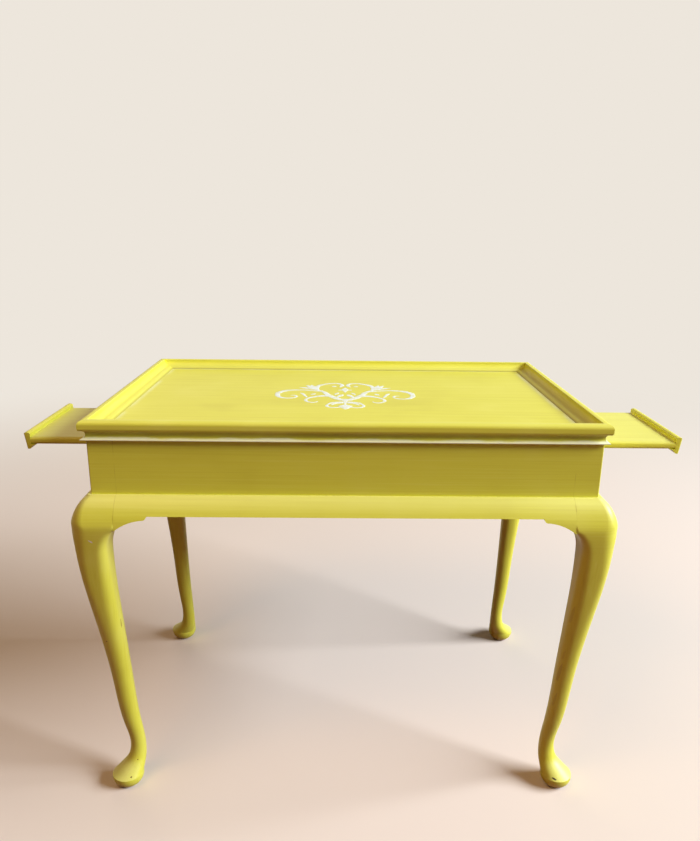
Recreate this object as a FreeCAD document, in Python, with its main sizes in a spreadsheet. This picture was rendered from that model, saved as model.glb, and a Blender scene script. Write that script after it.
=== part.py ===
"""Tea table with a moulded tray top, cabriole legs and a candle slide at each end.

Millimetres. The origin is on the floor under the middle of the table: X runs along the
length, Y to the back and Z up. Every size stands in the spreadsheet called sizes.
"""
import FreeCAD, Part
import math
import os
import re

import Sketcher
from FreeCAD import Placement, Rotation, Vector

# Driving sizes
SIZES = {
    # frame
    "frame_length": 758.0,      # over the outer faces of the posts
    "frame_depth": 467.0,
    "frame_height": 616.5,      # floor to the top of the aprons
    "apron_thickness": 20.0,
    "apron_reveal": 85.0,       # flat face between the tray moulding and the skirt
    "post_width": 38.0,
    "post_corner": 2.0,         # radius of the post's outer arris
    "joint_gap": 0.1,           # glue line in every mortise, dado and screw hole
    # mortise and tenon
    "tenon_length": 20.0,
    "tenon_thickness": 9.0,
    "tenon_setback": 6.0,       # from the apron's outer face
    "tenon_shoulder": 14.0,     # above and below the tenon
    # skirt and knee
    "skirt_height": 25.5,
    "shoulder_ledge": 5.0,      # flat at the top of the skirt and the knee
    "knee_out": 30.2,           # how far the knee swells past the post
    "knee_drop": 26.0,          # skirt's underside down to the widest part of the knee
    "knee_round": 26.0,         # radius of the knee's outer corner
    "knee_edge": 8.0,           # radius of the knee's other corners
    "knee_run": 22.0,           # how far the knee is carved past the joint before it is sawn off
    # knee bracket
    "bracket_length": 48.0,
    "bracket_drop": 22.0,       # skirt's underside down to where bracket and leg meet
    "bracket_step": 5.6,        # quarter round at the bracket's thin end
    "bracket_sweep": 72.0,      # radius of the arch under the bracket
    # shank, ankle and pad foot
    "crook_drop": 45.0,         # bracket's end down to the thinnest part behind the knee
    "crook_inner": 22.0,        # post's outer face in to the back of the leg there
    "crook_roundness": 0.48,    # corner radius as a share of the half width
    "crook_corner": 0.7,        # the same for the outer corner
    "ankle_height": 53.0,
    "ankle_inset": 15.0,        # post's outer face in to the front of the ankle
    "ankle_inner": 41.8,
    "ankle_roundness": 0.96,
    "shank_bow": 0.65,          # share by which the front of the shank bows
    "shank_hollow": 7.0,        # how far the back of the shank is hollowed, before easing off
    "toe_out": 11.5,            # how far the toe stands past the post
    "heel_inner": 38.5,
    "toe_fullness": 0.6,        # share by which the top of the toe rounds over
    "pad_rim_height": 21.0,
    "pad_lip": 0.5,             # the pad's edge past the foot above it
    "pad_base_radius": 14.0,
    "pad_curve": 20.0,          # radius of the pad's underside
    # tray
    "panel_thickness": 14.5,
    "panel_gap": 0.5,           # room for the panel to swell in the rim
    "tray_wall": 29.5,          # height of the rim moulding
    "rim_seat": 12.0,           # rim's foot on the frame, in from the apron's face
    "rim_reach": 26.0,          # rim's inner lip, in from the apron's face
    "nose_overhang": 8.5,
    "nose_radius": 7.0,         # over the nose's top edge
    "nose_under": 3.5,          # height of the nose's rounded lower edge
    "nose_under_curve": 5.0,
    "nose_foot": 14.0,          # frame's top up to the nose's lower edge, where the hollow begins
    "tip_overhang": 6.5,        # lower edge of the rim past the apron
    "tip_height": 1.0,
    "crest_flat": 6.0,
    "crest_round": 1.5,         # radius of the crest's inner edge
    "ogee_in": 13.0,            # level middle of the rim's inner ogee, in from the apron's face
    "ogee_height": 18.5,
    "ogee_hollow": 9.5,         # radius of the ogee's hollow, below the crest
    "ogee_swell": 25.0,         # radius of the ogee's swell, down to the panel
    "lip_edge": 0.5,
    # candle slides
    "slide_width": 194.0,
    "slide_thickness": 12.5,
    "slide_length": 290.0,
    "slide_edge": 5.0,          # radius along the slide's sides
    "slide_drop": 52.5,         # top of the frame down to the slide's underside
    "slide_gap": 0.4,           # running clearance all round the slide
    "slide_travel": 185.0,      # from shut to the stop pins
    "left_pull_out": 153.2,     # apron's face out to the pull's face, as it stands
    "right_pull_out": 184.2,
    "pull_thickness": 10.5,
    "pull_top": 7.8,            # above the slide
    "pull_lip": 7.9,            # below the slide
    "pull_lean": 3.6,           # the pull's face slopes out towards its top
    "pull_lip_thickness": 7.0,
    "pull_lip_round": 4.5,      # radius under the pull's lower edge
    "pull_crown": 8.0,          # radius over the pull's top edge
    "pull_end_round": 3.0,      # radius of the pull's outer arris at both ends
    "pull_upper_cove": 1.2,
    "pull_upper_curve": 1.5,
    "pull_lower_cove": 8.0,
    "pull_lower_curve": 11.0,
    "shut_gap": 1.0,            # pull to apron when the slide is shut
    "pin_diameter": 8.0,
    "pin_stand": 8.0,           # above the slide
    "pin_depth": 6.0,           # into the slide
    "pin_spread": 120.0,        # between the two pins of a slide
    "stop_gap": 0.5,            # pin to apron when the slide is right out
    "runner_width": 24.0,
    "runner_lip": 12.0,         # wood above and below the groove
    "groove_depth": 8.0,
    "dado_depth": 6.0,          # runner's end into the end apron
    # corner braces and screws
    "brace_leg": 75.0,          # brace's length along each apron, from the apron's inner corner
    "brace_height": 30.0,
    "brace_screw_along": 52.0,  # from the end apron's inner face to the brace screw
    "panel_screw_in": 48.0,     # from both outer faces to the panel screw
    "screw_seat": 8.0,          # wood under a brace screw's head
    "panel_screw_seat": 12.0,   # wood under a panel screw's head
    "screw_bite": 11.0,         # thread in the second piece
    "screw_diameter": 4.0,
    "head_diameter": 8.0,
    "head_height": 2.4,
    "head_room": 1.0,           # counterbore wider than the head
    "head_slot_width": 1.2,
    "head_slot_depth": 1.0,
}

# Heights and places that several pieces share, as formulas on the sizes
SKIRT_TOP = "(frame_height - apron_reveal)"
SKIRT_BOTTOM = "(frame_height - apron_reveal - skirt_height)"
KNEE_HEIGHT = f"({SKIRT_BOTTOM} - knee_drop)"
BRACKET_END = f"({SKIRT_BOTTOM} - bracket_drop)"
CROOK_HEIGHT = f"({BRACKET_END} - crook_drop)"
KNEE_RISE = "(skirt_height + knee_drop)"
KNEE_SWELL = "(knee_out - shoulder_ledge)"
SHOULDER_RADIUS = f"(({KNEE_SWELL}^2 + {KNEE_RISE}^2) / (2 * {KNEE_SWELL}))"
APRON_LENGTH = "(frame_length - 2 * post_width)"
APRON_DEPTH = "(frame_depth - 2 * post_width)"
SLIDE_BOTTOM = "(frame_height - slide_drop)"
SLIDE_TOP = "(frame_height - slide_drop + slide_thickness)"
PULL_REACH = "(pull_thickness + pull_lower_cove)"

doc = FreeCAD.newDocument("TeaTable")
sizes = doc.addObject("Spreadsheet::Sheet", "sizes")
for row, (alias, number) in enumerate(SIZES.items(), start=1):
    sizes.set(f"A{row}", alias)
    sizes.set(f"B{row}", str(number))
    sizes.setAlias(f"B{row}", alias)
doc.recompute()


def tied(formula):
    """Point every size named in a formula at its cell."""
    return re.sub(r"[a-z_]+", lambda word: f"sizes.{word[0]}" if word[0] in SIZES else word[0], formula)


def amount(formula):
    """The number that a formula comes to now."""
    return float(sizes.evalExpression(tied(formula)))


def swell(height):
    """How far knee and skirt stand past the post: one arc, widest at the knee."""
    rise = f"({height} - {KNEE_HEIGHT})"
    return f"(knee_out - {SHOULDER_RADIUS} + sqrt({SHOULDER_RADIUS}^2 - {rise}^2))"


# Drawing helpers
def new_body(name, x="0", y="0", turn=0):
    """An empty piece, placed by formulas and turned about the vertical."""
    body = doc.addObject("PartDesign::Body", name)
    body.Placement = Placement(Vector(amount(x), amount(y), 0), Rotation(Vector(0, 0, 1), turn))
    body.setExpression("Placement.Base.x", tied(x))
    body.setExpression("Placement.Base.y", tied(y))
    return body


def new_sketch(body, name, role, offset="0", across="0"):
    """A sketch on one of the body's own planes, moved along its normal and across it."""
    sketch = body.newObject("Sketcher::SketchObject", f"{body.Name}_{name}")
    plane = next(item for item in body.Origin.OriginFeatures if item.Role == role)
    sketch.AttachmentSupport = [(plane, "")]
    sketch.MapMode = "FlatFace"
    sketch.setExpression("AttachmentOffset.Base.x", tied(across))
    sketch.setExpression("AttachmentOffset.Base.z", tied(offset))
    return sketch


def tie(sketch, kind, *place, formula):
    """Add one dimension and bind it to its formula."""
    index = sketch.addConstraint(Sketcher.Constraint(kind, *place, amount(formula)))
    sketch.setExpression(f"Constraints[{index}]", tied(formula))


def outline(sketch, corners, arcs=None):
    """Close an outline through corners. arcs gives a side's radius and +1 or -1 for a centre
    on the left or the right of the way round."""
    arcs = arcs or {}
    points = [Vector(amount(x), amount(y), 0) for x, y in corners]
    sides = []
    for number, start in enumerate(points):
        end = points[(number + 1) % len(points)]
        if number not in arcs:
            sides.append((sketch.addGeometry(Part.LineSegment(start, end)), 1, 2))
            continue
        formula, hand = arcs[number]
        radius = amount(formula)
        chord = end - start
        left = Vector(-chord.y, chord.x, 0).normalize()
        rise = math.sqrt(max(radius ** 2 - (chord.Length / 2) ** 2, 0))
        centre = (start + end) / 2 + left * rise * hand
        first, last = (start, end) if hand > 0 else (end, start)
        angles = [math.atan2(point.y - centre.y, point.x - centre.x) for point in (first, last)]
        arc = Part.ArcOfCircle(Part.Circle(centre, Vector(0, 0, 1), radius), *angles)
        sides.append((sketch.addGeometry(arc), 1 if hand > 0 else 2, 2 if hand > 0 else 1))
    for number, (side, start, end) in enumerate(sides):
        following, its_start, _ = sides[(number + 1) % len(sides)]
        sketch.addConstraint(Sketcher.Constraint("Coincident", side, end, following, its_start))
        tie(sketch, "DistanceX", -1, 1, side, start, formula=corners[number][0])
        tie(sketch, "DistanceY", -1, 1, side, start, formula=corners[number][1])
    for number, (formula, _) in arcs.items():
        tie(sketch, "Radius", sides[number][0], formula=formula)


def rectangle(sketch, left, right, low, high):
    outline(sketch, [(left, low), (right, low), (right, high), (left, high)])


def circle(sketch, x, y, diameter):
    radius = f"({diameter}) / 2"
    centre = Vector(amount(x), amount(y), 0)
    ring = sketch.addGeometry(Part.Circle(centre, Vector(0, 0, 1), amount(radius)))
    tie(sketch, "DistanceX", -1, 1, ring, 3, formula=x)
    tie(sketch, "DistanceY", -1, 1, ring, 3, formula=y)
    tie(sketch, "Radius", ring, formula=radius)


def pad(body, sketch, length, both_ways=False, reverse=False):
    """Add the sketch's shape, drawn out to a length."""
    feature = body.newObject("PartDesign::Pad", f"{sketch.Name}_pad")
    feature.Profile = sketch
    feature.setExpression("Length", tied(length))
    feature.SideType = "Symmetric" if both_ways else "One side"
    feature.Reversed = reverse
    return feature


def pocket(body, sketch, depth, both_ways=False, reverse=False):
    """Cut the sketch's shape away, and make sure that wood has gone."""
    doc.recompute()
    before = body.Shape.Volume
    feature = body.newObject("PartDesign::Pocket", f"{sketch.Name}_pocket")
    feature.Profile = sketch
    feature.setExpression("Length", tied(depth))
    feature.SideType = "Symmetric" if both_ways else "One side"
    feature.Reversed = reverse
    doc.recompute()
    if not body.Shape.Volume < before:
        raise RuntimeError(f"{feature.Name} cuts nothing")
    return feature


def rounded(body, name, radius, middles):
    """Round the straight edges that have these middle points."""
    doc.recompute()
    base = body.Tip
    edges = base.Shape.Edges
    chosen = []
    for middle in middles:
        point = Vector(*[amount(part) for part in middle])
        nearest = min(edges, key=lambda edge: edge.CenterOfMass.distanceToPoint(point))
        chosen.append(f"Edge{edges.index(nearest) + 1}")
    feature = body.newObject("PartDesign::Fillet", f"{body.Name}_{name}")
    feature.Base = (base, chosen)
    feature.setExpression("Radius", tied(radius))
    return feature


def revolved(body, sketch):
    """Turn the sketch's shape about its own upright axis."""
    feature = body.newObject("PartDesign::Revolution", f"{sketch.Name}_turned")
    feature.Profile = sketch
    feature.ReferenceAxis = (sketch, ["V_Axis"])
    feature.Angle = 360
    return feature


def mirrored(source, name, normal, x="0", y="0"):
    """The same piece made to the other hand."""
    copy = doc.addObject("Part::Mirroring", name)
    copy.Source = source
    copy.Normal = normal
    copy.setExpression("Base.x", tied(x))
    copy.setExpression("Base.y", tied(y))
    return copy


def grouped(name, pieces):
    """Identical small pieces kept together."""
    group = doc.addObject("Part::Compound", name)
    group.Links = pieces
    return group


LEFT_RIGHT = Vector(1, 0, 0)
FRONT_BACK = Vector(0, 1, 0)
DIAGONAL = Vector(1, -1, 0)


def four_corners(front_left, stem):
    """Keep the front left piece and add its three reflections."""
    front_right = mirrored(front_left, f"{stem}_front_right", LEFT_RIGHT)
    back_left = mirrored(front_left, f"{stem}_back_left", FRONT_BACK)
    back_right = mirrored(front_right, f"{stem}_back_right", FRONT_BACK)
    return [front_left, front_right, back_left, back_right]


# Tray
def make_top_panel():
    """Plain board on the aprons, with blind holes for the screws from below."""
    panel = new_body("top_panel")
    half_length = "(frame_length / 2 - rim_seat - panel_gap)"
    half_depth = "(frame_depth / 2 - rim_seat - panel_gap)"
    plan = new_sketch(panel, "plan", "XY_Plane", "frame_height")
    rectangle(plan, f"-{half_length}", half_length, f"-{half_depth}", half_depth)
    pad(panel, plan, "panel_thickness")
    holes = new_sketch(panel, "holes", "XY_Plane", "frame_height")
    for x_side in "-", "":
        for y_side in "-", "":
            x = f"{x_side}(frame_length / 2 - panel_screw_in)"
            y = f"{y_side}(frame_depth / 2 - panel_screw_in)"
            circle(holes, x, y, "screw_diameter + 2 * joint_gap")
    pocket(panel, holes, "screw_bite + joint_gap", reverse=True)
    return panel


def make_rim(name, length, x="0", y="0", turn=0):
    """One side of the tray moulding, mitred at both ends. Outward is -Y before it is turned."""
    rim = new_body(name, x, y, turn)
    section = new_sketch(rim, "section", "YZ_Plane")
    crest = "frame_height + tray_wall"
    nose_centre = "(nose_overhang - nose_radius)"
    hollow = "((nose_foot - tip_height) / 2)"
    panel_top = "frame_height + panel_thickness"
    corners = [
        ("-tip_overhang", "frame_height"),
        ("rim_seat", "frame_height"),
        ("rim_seat", panel_top),
        ("rim_reach", panel_top),
        ("rim_reach", f"{panel_top} + lip_edge"),
        ("ogee_in", "frame_height + ogee_height"),
        (f"crest_flat - {nose_centre}", f"{crest} - crest_round"),
        (f"crest_flat - {nose_centre} - crest_round", crest),
        (f"-{nose_centre}", crest),
        ("-nose_overhang", f"{crest} - nose_radius"),
        ("-nose_overhang", "frame_height + nose_foot + nose_under"),
        ("-tip_overhang", "frame_height + nose_foot"),
        (f"{hollow} - tip_overhang", f"frame_height + tip_height + {hollow}"),
        ("-tip_overhang", "frame_height + tip_height"),
    ]
    outline(section, corners, {
        4: ("ogee_swell", 1),
        5: ("ogee_hollow", -1),
        6: ("crest_round", 1),
        8: ("nose_radius", 1),
        10: ("nose_under_curve", 1),
        11: (hollow, -1),
        12: (hollow, -1),
    })
    pad(rim, section, f"{length} + 2 * nose_overhang", both_ways=True)
    mitre = new_sketch(rim, "mitre", "XY_Plane", "frame_height")
    for side in "-", "":
        end = f"{side}({length} / 2 + nose_overhang)"
        inner = f"{side}({length} / 2 - rim_reach)"
        outline(mitre, [(end, "-nose_overhang"), (end, "rim_reach"), (inner, "rim_reach")])
    pocket(rim, mitre, "tray_wall", reverse=True)
    return rim


# Frame
def make_apron(name, length, x="0", y="0", turn=0):
    """Board with a tenon at each end. Its outer face is at Y 0 before it is turned."""
    apron = new_body(name, x, y, turn)
    half = f"({length} / 2)"
    board = new_sketch(apron, "board", "XY_Plane", SKIRT_BOTTOM)
    rectangle(board, f"-{half}", half, "0", "apron_thickness")
    pad(apron, board, f"frame_height - {SKIRT_BOTTOM}")
    tenon = new_sketch(apron, "tenon", "XY_Plane", f"{SKIRT_BOTTOM} + tenon_shoulder")
    reach = f"({half} + tenon_length)"
    rectangle(tenon, f"-{reach}", reach, "tenon_setback", "tenon_setback + tenon_thickness")
    pad(apron, tenon, f"frame_height - {SKIRT_BOTTOM} - 2 * tenon_shoulder")
    holes = new_sketch(apron, "brace_holes", "XZ_Plane", "-apron_thickness")
    for side in "-", "":
        place = f"{side}({half} + post_width - apron_thickness - brace_screw_along)"
        circle(holes, place, "frame_height - brace_height / 2", "screw_diameter + 2 * joint_gap")
    pocket(apron, holes, "screw_bite + joint_gap", reverse=True)
    return apron


def cut_slide_openings(apron):
    """Slot for the candle slide, and a dado for the end of each runner behind it."""
    slot = new_sketch(apron, "slot", "XZ_Plane")
    half_slot = "(slide_width / 2 + slide_gap)"
    slot_low = f"{SLIDE_BOTTOM} - slide_gap"
    slot_high = f"{SLIDE_TOP} + slide_gap"
    rectangle(slot, f"-{half_slot}", half_slot, slot_low, slot_high)
    pocket(apron, slot, "apron_thickness")
    dado = new_sketch(apron, "dado", "XZ_Plane", "-apron_thickness")
    near = "(slide_width / 2 - groove_depth - joint_gap)"
    far = "(slide_width / 2 - groove_depth + runner_width + joint_gap)"
    low = f"{slot_low} - runner_lip - joint_gap"
    high = f"{slot_high} + runner_lip + joint_gap"
    rectangle(dado, near, far, low, high)
    rectangle(dado, f"-{far}", f"-{near}", low, high)
    pocket(apron, dado, "dado_depth", reverse=True)


def make_skirt(name, length, x="0", y="0", turn=0):
    """Rounded moulding glued along the foot of an apron, between two knees."""
    skirt = new_body(name, x, y, turn)
    section = new_sketch(skirt, "section", "YZ_Plane")
    corners = [
        ("0", SKIRT_BOTTOM),
        ("0", SKIRT_TOP),
        ("-shoulder_ledge", SKIRT_TOP),
        (f"-{swell(SKIRT_BOTTOM)}", SKIRT_BOTTOM),
    ]
    outline(section, corners, {2: (SHOULDER_RADIUS, 1)})
    pad(skirt, section, length, both_ways=True)
    return skirt


def make_brace():
    """Triangular block in the front left corner, notched round the post."""
    brace = new_body("corner_brace_front_left", "-frame_length / 2", "-frame_depth / 2")
    low = "frame_height - brace_height"
    far = "(apron_thickness + brace_leg)"
    plan = new_sketch(brace, "plan", "XY_Plane", low)
    outline(plan, [
        ("post_width", "apron_thickness"),
        (far, "apron_thickness"),
        ("apron_thickness", far),
        ("apron_thickness", "post_width"),
        ("post_width", "post_width"),
    ])
    pad(brace, plan, "brace_height")
    along = "apron_thickness + brace_screw_along"
    middle = "frame_height - brace_height / 2"
    screw_hole = "screw_diameter + 2 * joint_gap"
    counterbore = "head_diameter + 2 * head_room"
    seat = "(apron_thickness + screw_seat)"
    for plane, way, turned_round in ("XZ_Plane", "-", False), ("YZ_Plane", "", True):
        hole = new_sketch(brace, f"{plane}_hole", plane, f"{way}apron_thickness")
        circle(hole, along, middle, screw_hole)
        pocket(brace, hole, "screw_seat", reverse=turned_round)
        sink = new_sketch(brace, f"{plane}_sink", plane, f"{way}{seat}")
        circle(sink, along, middle, counterbore)
        pocket(brace, sink, "brace_leg", reverse=turned_round)
    upright = new_sketch(brace, "upright_hole", "XY_Plane", low)
    circle(upright, "panel_screw_in", "panel_screw_in", screw_hole)
    pocket(brace, upright, "brace_height", reverse=True)
    sink = new_sketch(brace, "upright_sink", "XY_Plane", low)
    circle(sink, "panel_screw_in", "panel_screw_in", counterbore)
    pocket(brace, sink, "brace_height - panel_screw_seat", reverse=True)
    return brace


# Legs, through sections at these shares of each stretch
SHOULDER_SHARES = 1.0, 0.88, 0.68, 0.35  # of the rise from the widest part of the knee to its top
KNEE_SHARES = 1.0, 0.72, 0.4             # of the rise from the crook to the bracket's end
SHANK_SHARES = 0.0, 0.3, 0.6, 0.85, 1.0  # of the fall from the crook to the ankle
FOOT_SHARES = 0.35, 0.6, 0.8, 1.0        # of the fall from the ankle to the rim of the pad


def leg_section(leg, name, height, outer, inner, corner, edge):
    """Rounded square at one height of the leg, outer and inner measured from the post's faces."""
    sketch = new_sketch(leg, name, "XY_Plane", height)
    corners = [
        (f"{corner} - {outer}", f"-{outer}"),
        (f"{inner} - {edge}", f"-{outer}"),
        (inner, f"{edge} - {outer}"),
        (inner, f"{inner} - {edge}"),
        (f"{inner} - {edge}", inner),
        (f"{edge} - {outer}", inner),
        (f"-{outer}", f"{inner} - {edge}"),
        (f"-{outer}", f"{corner} - {outer}"),
    ]
    outline(sketch, corners, {1: (edge, 1), 3: (edge, 1), 5: (edge, 1), 7: (corner, 1)})
    return sketch


def shank_outer(height):
    """Front of the leg from knee to ankle: a straight line with a slight bow low down."""
    fall = f"(({KNEE_HEIGHT} - {height}) / ({KNEE_HEIGHT} - ankle_height))"
    bowed = f"({fall} + shank_bow * {fall}^3 * (1 - {fall}))"
    return f"(knee_out - {bowed} * (knee_out + ankle_inset))"


def leg_sections(leg):
    """Sections from the top of the knee down to the rim of the foot."""
    sections = []

    def add(name, height, outer, inner, corner, edge):
        sections.append(leg_section(leg, f"{name}_{len(sections)}", height, outer, inner, corner, edge))

    for share in SHOULDER_SHARES:
        height = f"({KNEE_HEIGHT} + {share} * {KNEE_RISE})"
        corner = f"(knee_round + {share} * (knee_edge - knee_round))"
        add("shoulder", height, swell(height), "(post_width + knee_run)", corner, "knee_edge")
    crook_outer = shank_outer(CROOK_HEIGHT)
    crook_half = f"(({crook_outer} + crook_inner) / 2)"
    crook_round = f"(crook_roundness * {crook_half})"
    crook_outer_round = f"(crook_corner * {crook_half})"
    for share in KNEE_SHARES:
        height = f"({CROOK_HEIGHT} + {share} * crook_drop)"
        outer = swell(height) if share == KNEE_SHARES[0] else shank_outer(height)
        inner = f"(crook_inner + {share}^3 * (post_width - crook_inner))"
        corner = f"({crook_outer_round} + {share} * (knee_round - {crook_outer_round}))"
        edge = f"({crook_round} + {share} * (knee_edge - {crook_round}))"
        add("knee", height, outer, inner, corner, edge)
    for share in SHANK_SHARES:
        height = f"({CROOK_HEIGHT} - {share} * ({CROOK_HEIGHT} - ankle_height))"
        outer = shank_outer(height)
        hollow = f"shank_hollow * {share} * (1 - {share})"
        inner = f"(crook_inner + {share} * (ankle_inner - crook_inner) - {hollow})"
        half = f"(({outer} + {inner}) / 2)"
        corner = f"((crook_corner + sqrt({share}) * (ankle_roundness - crook_corner)) * {half})"
        edge = f"((crook_roundness + sqrt({share}) * (ankle_roundness - crook_roundness)) * {half})"
        add("shank", height, outer, inner, corner, edge)
    for share in FOOT_SHARES:
        height = f"(ankle_height - {share} * (ankle_height - pad_rim_height))"
        spread = f"({share}^2 * (1 + toe_fullness * (1 - {share})))"
        outer = f"({spread} * (toe_out + ankle_inset) - ankle_inset)"
        inner = f"(ankle_inner + {share}^2 * (heel_inner - ankle_inner))"
        corner = f"(ankle_roundness * ({outer} + {inner}) / 2)"
        add("foot", height, outer, inner, corner, corner)
    return sections


def make_leg():
    """Front left cabriole leg, from the post's top to the pad, with its two mortises."""
    leg = new_body("leg_front_left", "-frame_length / 2", "-frame_depth / 2")
    post = new_sketch(leg, "post", "XY_Plane", BRACKET_END)
    outline(post, [
        ("post_corner", "0"),
        ("post_width", "0"),
        ("post_width", "post_width"),
        ("0", "post_width"),
        ("0", "post_corner"),
    ], {4: ("post_corner", 1)})
    pad(leg, post, f"frame_height - {BRACKET_END}")
    first, *others = leg_sections(leg)
    carved = leg.newObject("PartDesign::AdditiveLoft", "leg_carved")
    carved.Profile = first
    carved.Sections = others
    foot_centre = "((heel_inner - toe_out) / 2)"
    rim = "((heel_inner + toe_out) / 2 + pad_lip)"
    turned = new_sketch(leg, "pad", "XZ_Plane", f"-{foot_centre}", foot_centre)
    outline(turned, [
        ("0", "0"),
        ("pad_base_radius", "0"),
        (rim, "pad_rim_height"),
        ("0", "pad_rim_height"),
    ], {1: ("pad_curve", 1)})
    revolved(leg, turned)
    sawn = new_sketch(leg, "sawn", "XY_Plane", BRACKET_END)
    outside = "-(knee_out + knee_round)"
    past = "(post_width + 2 * knee_run)"
    outline(sawn, [
        ("post_width", outside),
        (past, outside),
        (past, past),
        (outside, past),
        (outside, "post_width"),
        ("post_width", "post_width"),
    ])
    pocket(leg, sawn, f"{SKIRT_TOP} - {BRACKET_END}", reverse=True)
    low = f"{SKIRT_BOTTOM} + tenon_shoulder - joint_gap"
    high = "frame_height - tenon_shoulder + joint_gap"
    near = "tenon_setback - joint_gap"
    far = "tenon_setback + tenon_thickness + joint_gap"
    faces = ("YZ_Plane", "post_width", False), ("XZ_Plane", "-post_width", True)
    for plane, offset, turned_round in faces:
        mortise = new_sketch(leg, f"{plane}_mortise", plane, offset)
        rectangle(mortise, near, far, low, high)
        pocket(leg, mortise, "tenon_length + joint_gap", reverse=turned_round)
    return leg


def make_bracket():
    """Knee bracket under the front skirt, beside the front left leg."""
    bracket = new_body("knee_bracket_front_left", "-frame_length / 2", "-frame_depth / 2")
    section = new_sketch(bracket, "section", "YZ_Plane", "post_width")
    outline(section, [
        ("apron_thickness", SKIRT_BOTTOM),
        (f"-{swell(SKIRT_BOTTOM)}", SKIRT_BOTTOM),
        (f"-{swell(BRACKET_END)}", BRACKET_END),
        ("apron_thickness", BRACKET_END),
    ], {1: (SHOULDER_RADIUS, 1)})
    pad(bracket, section, "bracket_length")
    tip = "(post_width + bracket_length)"
    arch = new_sketch(bracket, "arch", "XZ_Plane")
    outline(arch, [
        ("post_width", BRACKET_END),
        (f"{tip} - bracket_step", f"{SKIRT_BOTTOM} - bracket_step"),
        (tip, SKIRT_BOTTOM),
        (f"{tip} + bracket_step", SKIRT_BOTTOM),
        (f"{tip} + bracket_step", f"{BRACKET_END} - bracket_step"),
        ("post_width", f"{BRACKET_END} - bracket_step"),
    ], {0: ("bracket_sweep", -1), 1: ("bracket_step", 1)})
    right_through = "4 * (knee_out + apron_thickness)"
    pocket(bracket, arch, right_through, both_ways=True)
    return bracket


# Candle slides
def make_slide(side, x, turn):
    """Slide, pull and stop pins of one end. X 0 is the pull's face, and inward is -X."""
    slide = new_body(f"candle_slide_{side}", x, "0", turn)
    half = "(slide_width / 2)"
    board = new_sketch(slide, "board", "YZ_Plane", "-pull_thickness")
    outline(board, [
        (f"slide_edge - {half}", SLIDE_BOTTOM),
        (f"{half} - slide_edge", SLIDE_BOTTOM),
        (half, f"{SLIDE_BOTTOM} + slide_edge"),
        (half, f"{SLIDE_TOP} - slide_edge"),
        (f"{half} - slide_edge", SLIDE_TOP),
        (f"slide_edge - {half}", SLIDE_TOP),
        (f"-{half}", f"{SLIDE_TOP} - slide_edge"),
        (f"-{half}", f"{SLIDE_BOTTOM} + slide_edge"),
    ], {number: ("slide_edge", 1) for number in (1, 3, 5, 7)})
    pad(slide, board, "slide_length", reverse=True)
    pin_x = f"-(apron_thickness + slide_travel + stop_gap + pin_diameter / 2 + {PULL_REACH} + shut_gap)"
    holes = new_sketch(slide, "pin_holes", "XY_Plane", SLIDE_TOP)
    for way in "-", "":
        circle(holes, pin_x, f"{way}pin_spread / 2", "pin_diameter + 2 * joint_gap")
    pocket(slide, holes, "pin_depth")

    pin = new_body(f"stop_pin_{side}", x, "0", turn)
    pin_plan = new_sketch(pin, "plan", "XY_Plane", f"{SLIDE_TOP} - pin_depth")
    circle(pin_plan, pin_x, "pin_spread / 2", "pin_diameter")
    pad(pin, pin_plan, "pin_depth + pin_stand")
    pins = grouped(f"slide_stop_pins_{side}", [pin, mirrored(pin, f"other_stop_pin_{side}", FRONT_BACK)])

    pull = new_body(f"slide_pull_{side}", x, "0", turn)
    section = new_sketch(pull, "section", "XZ_Plane")
    crown_rise = "(pull_crown - sqrt(pull_crown^2 - (pull_thickness / 2)^2))"
    shoulder = f"{SLIDE_TOP} + pull_top - {crown_rise}"
    lip_rise = "(pull_lip_round - sqrt(pull_lip_round^2 - (pull_lip_thickness / 2)^2))"
    foot = f"{SLIDE_BOTTOM} - pull_lip + {lip_rise}"
    outline(section, [
        ("-pull_lean", foot),
        ("0", shoulder),
        ("-pull_thickness", shoulder),
        ("-pull_thickness", f"{SLIDE_TOP} + pull_upper_cove"),
        ("-pull_thickness - pull_upper_cove", SLIDE_TOP),
        ("-pull_thickness", SLIDE_TOP),
        ("-pull_thickness", SLIDE_BOTTOM),
        (f"-{PULL_REACH}", SLIDE_BOTTOM),
        ("-pull_lean - pull_lip_thickness", foot),
    ], {
        1: ("pull_crown", 1),
        3: ("pull_upper_curve", -1),
        7: ("pull_lower_curve", -1),
        8: ("pull_lip_round", 1),
    })
    pad(pull, section, "slide_width", both_ways=True)
    middle_height = f"({shoulder} + {foot}) / 2"
    ends = [("-pull_lean / 2", f"{way}{half}", middle_height) for way in ("-", "")]
    rounded(pull, "end_arris", "pull_end_round", ends)
    return [slide, pull, pins]


def make_runner():
    """Grooved rail that carries the front edge of both slides."""
    runner = new_body("slide_runner_front")
    inner = "(slide_width / 2 - groove_depth)"
    groove = "(slide_width / 2 + slide_gap)"
    outer = f"({inner} + runner_width)"
    groove_low = f"({SLIDE_BOTTOM} - slide_gap)"
    groove_high = f"({SLIDE_TOP} + slide_gap)"
    section = new_sketch(runner, "section", "YZ_Plane")
    outline(section, [
        (f"-{outer}", f"{groove_low} - runner_lip"),
        (f"-{inner}", f"{groove_low} - runner_lip"),
        (f"-{inner}", groove_low),
        (f"-{groove}", groove_low),
        (f"-{groove}", groove_high),
        (f"-{inner}", groove_high),
        (f"-{inner}", f"{groove_high} + runner_lip"),
        (f"-{outer}", f"{groove_high} + runner_lip"),
    ])
    pad(runner, section, "frame_length - 2 * (apron_thickness - dado_depth + joint_gap)", both_ways=True)
    return runner


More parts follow.
